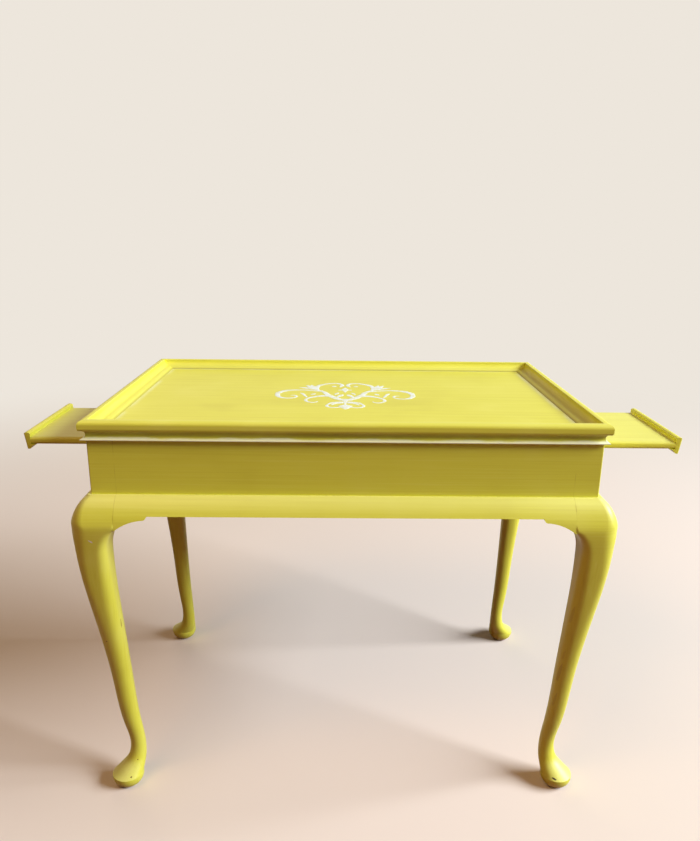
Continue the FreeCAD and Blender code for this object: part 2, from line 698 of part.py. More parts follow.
# Screws
def make_screw(name, seat, x, y, z, rotation):
    """Slotted screw whose head bears on the seat and whose thread points to its own +Z."""
    screw = new_body(name, x, y)
    screw.Placement = Placement(Vector(amount(x), amount(y), amount(z)), rotation)
    screw.setExpression("Placement.Base.z", tied(z))
    profile = new_sketch(screw, "profile", "XZ_Plane")
    outline(profile, [
        ("0", "-head_height"),
        ("head_diameter / 2", "-head_height"),
        ("head_diameter / 2", "0"),
        ("screw_diameter / 2", "0"),
        ("screw_diameter / 2", f"{seat} + screw_bite"),
        ("0", f"{seat} + screw_bite"),
    ])
    revolved(screw, profile)
    slot = new_sketch(screw, "slot", "XY_Plane", "-head_height")
    rectangle(slot, "-head_diameter", "head_diameter", "-head_slot_width / 2", "head_slot_width / 2")
    pocket(screw, slot, "head_slot_depth", reverse=True)
    return screw


def make_screws():
    """Eight screws from the braces into the aprons, and four up into the panel."""
    corner_x = "-frame_length / 2"
    corner_y = "-frame_depth / 2"
    into_apron = make_screw(
        "brace_screw", "screw_seat",
        f"{corner_x} + apron_thickness + brace_screw_along",
        f"{corner_y} + apron_thickness + screw_seat",
        "frame_height - brace_height / 2", Rotation(Vector(1, 0, 0), 90))
    into_end = mirrored(into_apron, "end_brace_screw", DIAGONAL, corner_x, corner_y)
    into_panel = make_screw(
        "panel_screw", "panel_screw_seat",
        f"{corner_x} + panel_screw_in",
        f"{corner_y} + panel_screw_in",
        "frame_height - panel_screw_seat", Rotation())
    brace_set = four_corners(into_apron, "brace_screw") + four_corners(into_end, "end_brace_screw")
    return [
        grouped("brace_screws", brace_set),
        grouped("panel_screws", four_corners(into_panel, "panel_screw")),
    ]


# Put the table together
def opposite(source, name, normal):
    return [source, mirrored(source, name, normal)]


FRONT = "-frame_depth / 2"
LEFT_END = "-frame_length / 2"
QUARTER_TURN = -90

nodes = [make_top_panel()]
nodes += opposite(make_rim("rim_front", "frame_length", y=FRONT), "rim_back", FRONT_BACK)
end_rim = make_rim("rim_left", "frame_depth", x=LEFT_END, turn=QUARTER_TURN)
nodes += opposite(end_rim, "rim_right", LEFT_RIGHT)
nodes += opposite(make_apron("apron_front", APRON_LENGTH, y=FRONT), "apron_back", FRONT_BACK)
end_apron = make_apron("apron_left", APRON_DEPTH, x=LEFT_END, turn=QUARTER_TURN)
cut_slide_openings(end_apron)
nodes += opposite(end_apron, "apron_right", LEFT_RIGHT)
nodes += opposite(make_skirt("skirt_front", APRON_LENGTH, y=FRONT), "skirt_back", FRONT_BACK)
end_skirt = make_skirt("skirt_left", APRON_DEPTH, x=LEFT_END, turn=QUARTER_TURN)
nodes += opposite(end_skirt, "skirt_right", LEFT_RIGHT)
nodes += four_corners(make_leg(), "leg")
long_bracket = make_bracket()
end_bracket = mirrored(long_bracket, "knee_bracket_end_front_left", DIAGONAL, LEFT_END, FRONT)
nodes += four_corners(long_bracket, "knee_bracket")
nodes += four_corners(end_bracket, "knee_bracket_end")
nodes += four_corners(make_brace(), "corner_brace")
nodes += opposite(make_runner(), "slide_runner_back", FRONT_BACK)
nodes += make_slide("left", "-(frame_length / 2 + left_pull_out)", 180)
nodes += make_slide("right", "frame_length / 2 + right_pull_out", 0)
nodes += make_screws()

# Check every piece, then write it
doc.recompute()
for item in doc.Objects:
    if "Invalid" in item.State or "Error" in item.State:
        raise RuntimeError(f"{item.Name} failed: {item.State}")
for node in nodes:
    if node.Shape.isNull() or not node.Shape.isValid():
        raise RuntimeError(f"{node.Label} has no valid shape")
os.makedirs("parts", exist_ok=True)
for node in nodes:
    node.Shape.exportStep(f"parts/{node.Label}.step")
    box = node.Shape.BoundBox
    print(f"{node.Label}: {len(node.Shape.Solids)} solid, {node.Shape.Volume / 1000:.1f} cm3,"
          f" z {box.ZMin:.1f} to {box.ZMax:.1f}")
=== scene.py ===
# %% [markdown]
# # A painted tea table
#
# This lesson dresses a finished CAD model. The joinery is already right: every board, leg and
# slide comes in as its own mesh, in metres, in the place where it belongs. What is left is what
# the eye judges: light, a hand-brushed coat of paint, its wear, and the stencil in the tray.

# %% Load the table
import math

import bpy
import numpy as np
from mathutils import Matrix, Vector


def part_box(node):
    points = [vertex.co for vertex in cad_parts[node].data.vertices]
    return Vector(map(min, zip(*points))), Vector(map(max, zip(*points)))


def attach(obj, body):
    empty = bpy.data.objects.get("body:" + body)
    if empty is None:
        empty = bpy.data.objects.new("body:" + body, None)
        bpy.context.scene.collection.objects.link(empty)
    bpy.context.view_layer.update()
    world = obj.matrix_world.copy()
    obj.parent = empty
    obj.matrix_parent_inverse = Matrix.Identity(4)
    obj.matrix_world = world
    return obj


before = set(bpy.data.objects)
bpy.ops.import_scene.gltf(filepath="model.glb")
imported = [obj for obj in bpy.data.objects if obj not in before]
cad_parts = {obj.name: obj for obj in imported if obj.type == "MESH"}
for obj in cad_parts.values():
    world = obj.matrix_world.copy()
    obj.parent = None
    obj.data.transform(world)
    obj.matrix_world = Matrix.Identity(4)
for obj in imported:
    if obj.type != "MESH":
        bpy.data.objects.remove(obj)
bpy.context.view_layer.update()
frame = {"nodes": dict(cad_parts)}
nodes = frame["nodes"]
MM = 0.001

# %% [markdown]
# ## Camera
#
# The camera stands in front of the table at about waist height and looks a little down. Its place
# and angles were worked out from the corners of the tray and the feet, so the table falls on the
# same pixels as in the photograph. Blender's camera looks along its own -Z, so its three axes are
# the picture's right, the picture's up and the way back.

# %% Camera
IMAGE_HEIGHT = 841                  # pixels, the longer side, which the sensor spans
FOCAL_PIXELS = 701.9
AXIS_BELOW_MIDDLE = 4.49            # pixels from the picture's middle down to the lens axis
CAMERA_PLACE = np.array([-9.364, -1210.486, 923.839]) * MM
PITCH, YAW, ROLL = np.radians([-16.125, 0.8196, 0.7056])

ahead = np.array([math.sin(YAW) * math.cos(PITCH), math.cos(YAW) * math.cos(PITCH), math.sin(PITCH)])
level = np.array([math.cos(YAW), -math.sin(YAW), 0.0])
upright = np.cross(level, ahead)
picture_right = math.cos(ROLL) * level + math.sin(ROLL) * upright
picture_up = math.cos(ROLL) * upright - math.sin(ROLL) * level

lens = bpy.data.cameras.new("camera")
lens.lens = lens.sensor_width * FOCAL_PIXELS / IMAGE_HEIGHT
lens.shift_y = AXIS_BELOW_MIDDLE / IMAGE_HEIGHT
camera = bpy.data.objects.new("camera", lens)
stance = np.eye(4)
stance[:3, :] = np.column_stack([picture_right, picture_up, -ahead, CAMERA_PLACE])
camera.matrix_world = Matrix(stance.tolist())
bpy.context.scene.collection.objects.link(camera)
bpy.context.scene.camera = camera
bpy.context.scene.view_settings.view_transform = "Standard"
print(f"lens {lens.lens:.2f} mm, shift {lens.shift_y:.4f}")

# %% [markdown]
# ## Three helpers
#
# Colours are written as people read them, in sRGB hex. Blender calculates with light itself, so one
# function undoes the sRGB curve. Materials are graphs of nodes, and a second function adds any
# node: its settings by name, and for each input a plain value or whatever feeds it. The third starts
# a new material.

# %% Helpers for colours and nodes


def linear(hex_colour):
    """sRGB to linear light: the straight part near black, a 2.4 power above it."""
    values = np.array([int(hex_colour[place:place + 2], 16) for place in (1, 3, 5)]) / 255
    low = values / 12.92
    high = ((values + 0.055) / 1.055) ** 2.4
    return (*np.where(values <= 0.04045, low, high).tolist(), 1.0)


def add(tree, kind, inputs=None, **settings):
    """Add one node. An input is a plain value, an output to link, or a node, whose first output
    that is in use is linked."""
    item = tree.nodes.new(kind)
    for name, value in settings.items():
        setattr(item, name, value)
    for socket, value in (inputs or {}).items():
        if isinstance(value, bpy.types.Node):
            value = next(output for output in value.outputs if output.enabled)
        if isinstance(value, bpy.types.NodeSocket):
            tree.links.new(value, item.inputs[socket])
        else:
            item.inputs[socket].default_value = value
    return item


def new_material(name):
    """A material with an empty graph, its surface shader joined to the output, and the table's own
    coordinates to draw in."""
    material = bpy.data.materials.new(name)
    material.use_nodes = True
    tree = material.node_tree
    tree.nodes.clear()
    shader = add(tree, "ShaderNodeBsdfPrincipled")
    add(tree, "ShaderNodeOutputMaterial", {"Surface": shader})
    place = add(tree, "ShaderNodeTexCoord").outputs["Object"]
    return material, tree, shader, place


SMOOTH = {"interpolation_type": "SMOOTHSTEP"}
COLOURS = {"data_type": "RGBA"}
print("chartreuse in linear light:", [round(value, 3) for value in linear("#E2D74C")])

# %% [markdown]
# ## Floor and light
#
# A plain floor keeps the eye on the table and catches its shadow. The light is a wide lamp far off
# on the right, like a window: it rakes over the tray and leaves the front apron, the right moulding's
# inner side and the left of the legs in shade. Two weak warm lamps stand for the rest of the room, one
# high at the front left and one behind, which isn't mirrored in the tray. The camera sees a pale floor and
# backdrop, but the light that the floor throws back up is that of a warm wooden one, so the underside
# of the table stays warm and dark.

# %% Floor
FLOOR_RADIUS = 14.0
BACKDROP = "#EDE6DC"
PALE_FLOOR = "#EADFD2"
BOUNCE = "#7A3612"
FADE_START, FADE_END = 1.1, 3.2     # metres from the table's middle


def disc(radius, rings=24, spokes=96):
    """Points on the floor at every turn and every share of the radius, a ring of them to a row."""
    turn = np.linspace(0, 2 * np.pi, spokes, endpoint=False)
    reach = radius * np.linspace(0.002, 1, rings) ** 2
    around, out = np.meshgrid(turn, reach)
    return np.stack([out * np.cos(around), out * np.sin(around), np.zeros_like(out)], axis=-1)


def grid_faces(rows, columns):
    """Quads between neighbours of a grid whose rows close on themselves."""
    ids = np.arange(rows * columns).reshape(rows, columns)
    after = np.roll(ids, -1, axis=1)
    return np.stack([ids[:-1], after[:-1], after[1:], ids[1:]], axis=-1).reshape(-1, 4)


def new_piece(name, points, faces, material):
    """A smooth mesh object at the origin from an array of points and lists of corners."""
    mesh = bpy.data.meshes.new(name)
    mesh.from_pydata(points.reshape(-1, 3).tolist(), [], faces)
    mesh.polygons.foreach_set("use_smooth", [True] * len(mesh.polygons))
    mesh.materials.append(material)
    mesh.update()
    piece = bpy.data.objects.new(name, mesh)
    bpy.context.scene.collection.objects.link(piece)
    return piece


def seen_rays(tree):
    """1 for what the eye sees, straight or in a reflection or through glass, and 0 for light that
    is only scattered."""
    ray = add(tree, "ShaderNodeLightPath")
    shiny = add(tree, "ShaderNodeMath", {
        0: ray.outputs["Is Glossy Ray"], 1: ray.outputs["Is Transmission Ray"]}, operation="MAXIMUM")
    return add(tree, "ShaderNodeMath", {0: ray.outputs["Is Camera Ray"], 1: shiny}, operation="MAXIMUM")


# Matt studio floor: pale and even to the eye, fading into the backdrop before the horizon
floor_material, tree, shader, place = new_material("matt_studio_floor")
shader.inputs["Base Color"].default_value = linear(PALE_FLOOR)
shader.inputs["Roughness"].default_value = 0.9
shader.inputs["Specular IOR Level"].default_value = 0.1
distance = add(tree, "ShaderNodeVectorMath", {0: place}, operation="LENGTH")
far = add(tree, "ShaderNodeMapRange", {
    "Value": distance, "From Min": FADE_START, "From Max": FADE_END}, **SMOOTH)
glow = add(tree, "ShaderNodeEmission", {"Color": linear(BACKDROP), "Strength": 1.0})
wood = add(tree, "ShaderNodeBsdfDiffuse", {"Color": linear(BOUNCE)})
shown = add(tree, "ShaderNodeMixShader", {0: far, 1: shader, 2: glow})
both = add(tree, "ShaderNodeMixShader", {0: seen_rays(tree), 1: wood, 2: shown})
tree.links.new(both.outputs[0], tree.nodes["Material Output"].inputs["Surface"])
floor_points = disc(FLOOR_RADIUS)
hub = list(range(floor_points.shape[1]))
floor_faces = [*grid_faces(*floor_points.shape[:2]).tolist(), hub]
floor = new_piece("floor", floor_points, floor_faces, floor_material)
print(f"floor {2 * FLOOR_RADIUS:.0f} m across")

# %% Lamps and world
LAMPS = {
    # name: place in metres, point that it looks at, width and height in metres, watts, colour
    "window": ((6.5, -1.25, 4.05), (0.0, 0.0, 0.45), (4.5, 2.6), 1060.0, "#F2F6FF"),
    "room": ((-1.4, -1.5, 3.4), (0.0, 0.0, 0.45), (1.6, 1.6), 37.0, "#FFC684"),
    "back_room": ((-1.2, 3.4, 1.8), (0.0, 0.0, 0.45), (2.4, 1.6), 26.0, "#FFEBD2"),
}
AMBIENT, AMBIENT_STRENGTH = "#F4F1EC", 0.02
for name, (stand, target, (width, height), watts, colour) in LAMPS.items():
    lamp = bpy.data.lights.new(name, "AREA")
    lamp.shape = "RECTANGLE"
    lamp.size = width
    lamp.size_y = height
    lamp.energy = watts
    lamp.color = linear(colour)[:3]
    back = np.array(stand) - np.array(target)
    back /= np.linalg.norm(back)
    side = np.cross([0, 0, 1], back)
    side /= np.linalg.norm(side)
    pose = np.eye(4)
    pose[:3, :] = np.column_stack([side, np.cross(back, side), back, stand])
    holder = bpy.data.objects.new(name, lamp)
    holder.matrix_world = Matrix(pose.tolist())
    holder.visible_glossy = name != "back_room"
    bpy.context.scene.collection.objects.link(holder)

world = bpy.data.worlds.new("studio")
bpy.context.scene.world = world
world.use_nodes = True
tree = world.node_tree
tree.nodes.clear()
backdrop = add(tree, "ShaderNodeBackground", {"Color": linear(BACKDROP), "Strength": 1.0})
ambient = add(tree, "ShaderNodeBackground", {"Color": linear(AMBIENT), "Strength": AMBIENT_STRENGTH})
seen = add(tree, "ShaderNodeMixShader", {0: seen_rays(tree), 1: ambient, 2: backdrop})
add(tree, "ShaderNodeOutputWorld", {"Surface": seen})
print("lamps:", ", ".join(LAMPS))

# %% [markdown]
# ## Bare wood and screws
#
# Where no one looks, the table was left unpainted: the braces in the corners, the runners of the
# candle slides and the inside of the frame are planed beech, a pale pinkish brown with fine grain and
# short dark flecks. A grain is noise drawn out along the board, and the flecks are a second noise of
# which only the peaks count. The screws are zinc-plated steel, dulled by age.

# %% Beech and steel
BEECH = {"early": "#C9A274", "late": "#B58A5B", "fleck": "#8F6537"}
GRAIN_WIDTH, GRAIN_LENGTH = 2.2 * MM, 160 * MM
FLECK_WIDTH, FLECK_LENGTH = 0.7 * MM, 5 * MM    # about twice as coarse as real flecks, so that they show
STEEL, DULL_STEEL = "#A9A7A1", "#77736B"
TARNISH_SIZE = 3 * MM


def beech_grain(tree, place):
    """Growth rings as long streaks along X and Y, with short dark flecks over them."""
    rings = add(tree, "ShaderNodeMapping", {
        "Vector": place, "Scale": (1 / GRAIN_LENGTH, 1 / GRAIN_LENGTH, 1 / GRAIN_WIDTH)})
    grain = add(tree, "ShaderNodeTexNoise", {"Vector": rings, "Scale": 1.0, "Detail": 4.0})
    share = add(tree, "ShaderNodeMapRange", {"Value": grain, "From Min": 0.35, "From Max": 0.65}, **SMOOTH)
    colour = add(tree, "ShaderNodeMix", {
        0: share, 6: linear(BEECH["early"]), 7: linear(BEECH["late"])}, **COLOURS)
    dashes = add(tree, "ShaderNodeMapping", {
        "Vector": place, "Scale": (1 / FLECK_LENGTH, 1 / FLECK_LENGTH, 1 / FLECK_WIDTH)})
    fleck = add(tree, "ShaderNodeTexNoise", {"Vector": dashes, "Scale": 1.0, "Detail": 1.0})
    peak = add(tree, "ShaderNodeMapRange", {
        "Value": fleck, "From Min": 0.62, "From Max": 0.75, "To Max": 0.6}, **SMOOTH)
    return add(tree, "ShaderNodeMix", {0: peak, 6: colour, 7: linear(BEECH["fleck"])}, **COLOURS)


# Planed beech: matt, with only the grain to see
bare_beech, tree, shader, place = new_material("planed_beech")
tree.links.new(beech_grain(tree, place).outputs["Result"], shader.inputs["Base Color"])
shader.inputs["Roughness"].default_value = 0.62
shader.inputs["Specular IOR Level"].default_value = 0.3

# Zinc-plated steel: grey and soft in its shine, with cloudy tarnish
screw_steel, tree, shader, place = new_material("dull_zinc_plated_steel")
tarnish = add(tree, "ShaderNodeTexNoise", {"Vector": place, "Scale": 1 / TARNISH_SIZE, "Detail": 3.0})
tone = add(tree, "ShaderNodeMix", {0: tarnish, 6: linear(STEEL), 7: linear(DULL_STEEL)}, **COLOURS)
gloss = add(tree, "ShaderNodeMapRange", {"Value": tarnish, "To Min": 0.3, "To Max": 0.55})
tree.links.new(tone.outputs["Result"], shader.inputs["Base Color"])
tree.links.new(gloss.outputs["Result"], shader.inputs["Roughness"])
shader.inputs["Metallic"].default_value = 1.0
print("bare:", bare_beech.name, screw_steel.name)

# %% [markdown]
# ## The paint
#
# The table is painted by hand in a chartreuse furniture paint, waxed to a soft satin. A brush leaves
# three things to see: fine ridges along its path, streaks where the coat is thinner or thicker, and
# slow drifts of tone over a hand's breadth. Each is noise in the table's own coordinates, drawn out
# along the way the brush went: along the boards, round the frame, and down the legs below the knee.
# The ridges also drive a slight bump, so that the satin shine breaks up along them. Faces that look up
# get a pale painted sheen in their colour, a painted highlight of the satin. The maker's rasp rounded the
# edges of the legs; a Bevel node only shades those edges as round, and the mesh stays as it is.

# %% Brushed paint
# The last colour is a pale painted sheen, a painted highlight for faces that look up.
PAINT = {"deep": "#D3CE3E", "body": "#E1E04A", "thick": "#E9E866", "painted_sheen": "#F2F8B0"}
STROKE_LENGTH = 200 * MM
STREAK_WIDTH = 2.8 * MM
RIDGE_WIDTH = 1.3 * MM      # bristle marks, drawn about twice as coarse as real ones so that they show
RIDGE_DEPTH = 0.10 * MM
DRIFT_SIZE = 110 * MM
SKIRT_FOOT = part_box("skirt_front")[0][2]
KNEE_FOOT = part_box("knee_bracket_front_left")[0][2]
RASP_RADIUS = 12 * MM
RASP_SAMPLES = 6            # rays that the Bevel node sends out to find an edge
RASP_TOP, RASP_TOP_FADE = KNEE_FOOT + 12 * MM, 12 * MM     # the rasp worked between these heights
RASP_FOOT, RASP_FOOT_FADE = 45 * MM, 40 * MM
# Faces that look up this much get the painted sheen, a pale painted highlight of the satin.
PAINTED_SHEEN_TILT = 0.35, 0.9       # upward share of a face's direction, where the haze starts and where it is full
TURN_HEIGHTS = KNEE_FOOT + 4 * MM, KNEE_FOOT - 60 * MM      # the brush turns from level to upright


def brush_noise(tree, place, ways, width, detail, offset):
    """Noise drawn out along the brush's way: width across it, a stroke long on it. A second way
    takes over below the knee."""
    drawn = []
    for way in ways:
        scale = [1 / (STROKE_LENGTH if axis in way else width) for axis in "XYZ"]
        laid = add(tree, "ShaderNodeMapping", {"Vector": place, "Location": [offset] * 3, "Scale": scale})
        drawn.append(add(tree, "ShaderNodeTexNoise", {"Vector": laid, "Scale": 1.0, "Detail": detail}))
    if len(drawn) == 1:
        return drawn[0]
    height = add(tree, "ShaderNodeSeparateXYZ", {0: place}).outputs["Z"]
    below = add(tree, "ShaderNodeMapRange", {
        "Value": height, "From Min": TURN_HEIGHTS[0], "From Max": TURN_HEIGHTS[1]}, **SMOOTH)
    return add(tree, "ShaderNodeMix", {0: below, 2: drawn[0], 3: drawn[1]})


def hand_brushed_paint(name, ways, marks=(), streaks=0.5, streak_width=STREAK_WIDTH, ridges=1.0, wax=0.5,
                       painted_sheen=0.0, soften=False):
    """Satin furniture paint. Each mark is a function that takes the graph, the place and the colour
    so far, and gives the colour with the mark on it. Wax is how much the surface mirrors, and the
    sheen share how much pale painted sheen, a painted highlight, lies on the faces that look up.
    Softening shades the edges between knee and foot as if a rasp had rounded them."""
    material, tree, shader, place = new_material(name)
    streak = brush_noise(tree, place, ways, streak_width, 3.0, 0.0)
    ridge = brush_noise(tree, place, ways, RIDGE_WIDTH, 2.0, 7.0)
    drift = add(tree, "ShaderNodeTexNoise", {"Vector": place, "Scale": 1 / DRIFT_SIZE, "Detail": 2.0})
    colour = linear(PAINT["body"])
    layers = [(streak, 0.50, 0.75, streaks, "deep"), (streak, 0.50, 0.25, streaks, "thick"),
              (drift, 0.50, 0.85, 0.6, "deep"), (drift, 0.50, 0.20, 0.5, "thick")]
    for noise, start, end, most, tone in layers:
        share = add(tree, "ShaderNodeMapRange", {
            "Value": noise, "From Min": start, "From Max": end, "To Max": most}, **SMOOTH)
        colour = add(tree, "ShaderNodeMix", {0: share, 6: colour, 7: linear(PAINT[tone])}, **COLOURS)
    # Painted sheen: a pale colour mixed in where a face looks up, a painted highlight of the satin.
    if painted_sheen:
        normal = add(tree, "ShaderNodeNewGeometry").outputs["Normal"]
        upward = add(tree, "ShaderNodeSeparateXYZ", {0: normal}).outputs["Z"]
        sheen_share = add(tree, "ShaderNodeMapRange", {
            "Value": upward, "From Min": PAINTED_SHEEN_TILT[0], "From Max": PAINTED_SHEEN_TILT[1], "To Max": painted_sheen}, **SMOOTH)
        colour = add(tree, "ShaderNodeMix", {0: sheen_share, 6: colour, 7: linear(PAINT["painted_sheen"])}, **COLOURS)
    for mark in marks:
        colour = mark(tree, place, colour)
    gloss = add(tree, "ShaderNodeMapRange", {"Value": ridge, "To Min": 0.36, "To Max": 0.50})
    bump = add(tree, "ShaderNodeBump", {
        "Height": ridge, "Strength": 0.35 * ridges, "Distance": RIDGE_DEPTH})
    if soften:
        height = add(tree, "ShaderNodeSeparateXYZ", {0: place}).outputs["Z"]
        below_knee = add(tree, "ShaderNodeMapRange", {
            "Value": height, "From Min": RASP_TOP, "From Max": RASP_TOP - RASP_TOP_FADE,
            "To Max": RASP_RADIUS})
        above_foot = add(tree, "ShaderNodeMapRange", {
            "Value": height, "From Min": RASP_FOOT, "From Max": RASP_FOOT + RASP_FOOT_FADE,
            "To Max": RASP_RADIUS})
        radius = add(tree, "ShaderNodeMath", {0: below_knee, 1: above_foot}, operation="MINIMUM")
        rounded = add(tree, "ShaderNodeBevel", {"Radius": radius}, samples=RASP_SAMPLES)
        tree.links.new(rounded.outputs["Normal"], bump.inputs["Normal"])
    tree.links.new(colour.outputs["Result"], shader.inputs["Base Color"])
    tree.links.new(gloss.outputs["Result"], shader.inputs["Roughness"])
    tree.links.new(bump.outputs["Normal"], shader.inputs["Normal"])
    shader.inputs["IOR"].default_value = 1.48
    shader.inputs["Specular IOR Level"].default_value = wax
    return material


print(f"brush turns between {TURN_HEIGHTS[0]:.3f} and {TURN_HEIGHTS[1]:.3f} m")

# %% [markdown]
# ## Wear, painted shade and painted highlights
#
# A table that has been used shows it in the places that are touched. The lowest edge of the tray
# moulding is rubbed through to a pale undercoat, lifted near white as a painted highlight where that
# edge catches the light. The hollow under its nose and the corner where the moulding meets the tray are
# darkened as painted shade. Beside that corner the tray is paler in stretches, partly rubbed and partly
# a painted highlight along the moulding's edge. Each is a mask made of a height or a distance and some
# noise, which mixes one colour into another.

# %% Wear, painted shade and painted highlights on the tray moulding
# A pale undercoat, also pushed near white as a painted highlight on the moulding's lowest edge
UNDERCOAT_AND_HIGHLIGHT = "#F4FBD6"
# Colour of the painted shade in the hollow under the nose and in the corner at the tray's floor
PAINTED_SHADE = "#857422"
RIM_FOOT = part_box("rim_front")[0][2]
TRAY_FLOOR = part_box("top_panel")[1][2]
PALE_TIP_PATCH, SHADE_PATCH = 60 * MM, 150 * MM
PALE_TIP_LOW, PALE_TIP_HIGH = RIM_FOOT + 3.2 * MM, RIM_FOOT + 5.6 * MM
PALE_TIP_FADE = 3.0 * MM
HOLLOW, SHADE_SPREAD = RIM_FOOT + 9 * MM, 7 * MM
OUTSIDE_Y = -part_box("apron_front")[0][1] - 1 * MM
OUTSIDE_X = -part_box("apron_left")[0][0] - 1 * MM
LIP_X, LIP_Y = -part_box("rim_left")[1][0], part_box("rim_back")[0][1]     # the moulding's inner edge
SHADE_HEIGHT = TRAY_FLOOR + 2.4 * MM
PALE_WIDTH, PALE_LENGTH = 11 * MM, 90 * MM


def rubbed_tip_and_highlight(tree, place, colour):
    """Rubbed undercoat with a painted highlight on it, growing towards the lower edge from a height
    that wanders along it.
    """
    height = add(tree, "ShaderNodeSeparateXYZ", {0: place}).outputs["Z"]
    wander = add(tree, "ShaderNodeTexNoise", {"Vector": place, "Scale": 1 / PALE_TIP_PATCH, "Detail": 4.0})
    reach = add(tree, "ShaderNodeMapRange", {
        "Value": wander, "From Min": 0.35, "From Max": 0.6, "To Min": PALE_TIP_LOW, "To Max": PALE_TIP_HIGH})
    below = add(tree, "ShaderNodeMath", {0: reach, 1: height}, operation="SUBTRACT")
    rub_and_highlight = add(tree, "ShaderNodeMapRange", {"Value": below, "From Max": PALE_TIP_FADE, "To Max": 0.97}, **SMOOTH)
    return add(tree, "ShaderNodeMix", {0: rub_and_highlight, 6: colour, 7: linear(UNDERCOAT_AND_HIGHLIGHT)}, **COLOURS)


def painted_shade_under_nose(tree, place, colour):
    """Painted shade in the hollow under the nose, which lies outside the aprons."""
    apart = add(tree, "ShaderNodeVectorMath", {0: place}, operation="ABSOLUTE")
    parts = add(tree, "ShaderNodeSeparateXYZ", {0: apart})
    past_x = add(tree, "ShaderNodeMath", {0: parts.outputs["X"], 1: OUTSIDE_X}, operation="GREATER_THAN")
    past_y = add(tree, "ShaderNodeMath", {0: parts.outputs["Y"], 1: OUTSIDE_Y}, operation="GREATER_THAN")
    outside = add(tree, "ShaderNodeMath", {0: past_x, 1: past_y}, operation="MAXIMUM")
    off = add(tree, "ShaderNodeMath", {0: parts.outputs["Z"], 1: HOLLOW}, operation="SUBTRACT")
    away = add(tree, "ShaderNodeMath", {0: off}, operation="ABSOLUTE")
    near = add(tree, "ShaderNodeMapRange", {"Value": away, "From Min": SHADE_SPREAD, "From Max": 0}, **SMOOTH)
    cloud = add(tree, "ShaderNodeTexNoise", {"Vector": place, "Scale": 1 / SHADE_PATCH, "Detail": 3.0})
    share = add(tree, "ShaderNodeMapRange", {
        "Value": cloud, "From Min": 0.3, "From Max": 0.7, "To Min": 0.2, "To Max": 0.5})
    shade_share = add(tree, "ShaderNodeMath", {
        0: near, 1: add(tree, "ShaderNodeMath", {0: share, 1: outside}, operation="MULTIPLY")},
        operation="MULTIPLY")
    return add(tree, "ShaderNodeMix", {0: shade_share, 6: colour, 7: linear(PAINTED_SHADE)}, **COLOURS)


def painted_shade_in_corner(tree, place, colour):
    """Painted shade on the foot of the moulding's inner side, less the higher it lies."""
    apart = add(tree, "ShaderNodeVectorMath", {0: place}, operation="ABSOLUTE")
    parts = add(tree, "ShaderNodeSeparateXYZ", {0: apart})
    low = add(tree, "ShaderNodeMapRange", {
        "Value": parts.outputs["Z"], "From Min": SHADE_HEIGHT, "From Max": TRAY_FLOOR, "To Max": 0.75})
    within_x = add(tree, "ShaderNodeMath", {0: parts.outputs["X"], 1: OUTSIDE_X}, operation="LESS_THAN")
    within_y = add(tree, "ShaderNodeMath", {0: parts.outputs["Y"], 1: OUTSIDE_Y}, operation="LESS_THAN")
    within = add(tree, "ShaderNodeMath", {0: within_x, 1: within_y}, operation="MULTIPLY")
    shade_share = add(tree, "ShaderNodeMath", {0: low, 1: within}, operation="MULTIPLY")
    return add(tree, "ShaderNodeMix", {0: shade_share, 6: colour, 7: linear(PAINTED_SHADE)}, **COLOURS)


def pale_border(tree, place, colour):
    """Paler paint in stretches on the tray, along the moulding's inner edge: partly rubbed undercoat,
    partly a painted highlight.
    """
    apart = add(tree, "ShaderNodeVectorMath", {0: place}, operation="ABSOLUTE")
    past = add(tree, "ShaderNodeSeparateXYZ", {
        0: add(tree, "ShaderNodeVectorMath", {0: apart, 1: (LIP_X, LIP_Y, 0)}, operation="SUBTRACT")})
    edge = add(tree, "ShaderNodeMath", {0: past.outputs["X"], 1: past.outputs["Y"]}, operation="MAXIMUM")
    near = add(tree, "ShaderNodeMapRange", {"Value": edge, "From Min": -PALE_WIDTH, "From Max": 0}, **SMOOTH)
    stretch = add(tree, "ShaderNodeTexNoise", {"Vector": place, "Scale": 1 / PALE_LENGTH, "Detail": 2.0})
    share = add(tree, "ShaderNodeMapRange", {
        "Value": stretch, "From Min": 0.35, "From Max": 0.60, "To Min": 0.05, "To Max": 0.5}, **SMOOTH)
    # Part rubbed undercoat, part painted highlight along the lip.
    patchy_share = add(tree, "ShaderNodeMath", {0: near, 1: share}, operation="MULTIPLY")
    return add(tree, "ShaderNodeMix", {0: patchy_share, 6: colour, 7: linear(UNDERCOAT_AND_HIGHLIGHT)}, **COLOURS)


RIM_MARKS = painted_shade_under_nose, painted_shade_in_corner, rubbed_tip_and_highlight
# The lowest edge is pale up to this height, and the painted shade lies round the hollow.
print(f"rub up to {PALE_TIP_HIGH:.4f} m, wax round {HOLLOW:.4f} m")

# %% [markdown]
# On the frame, paint bridges the joints between aprons, posts and knees, and cracks there in a hair
# line. Inside, the brush stopped: the boards are bare. The legs carry a few chips and long faint
# scrapes. Each of those is a small squashed ball in space that colours the surface where it cuts it.

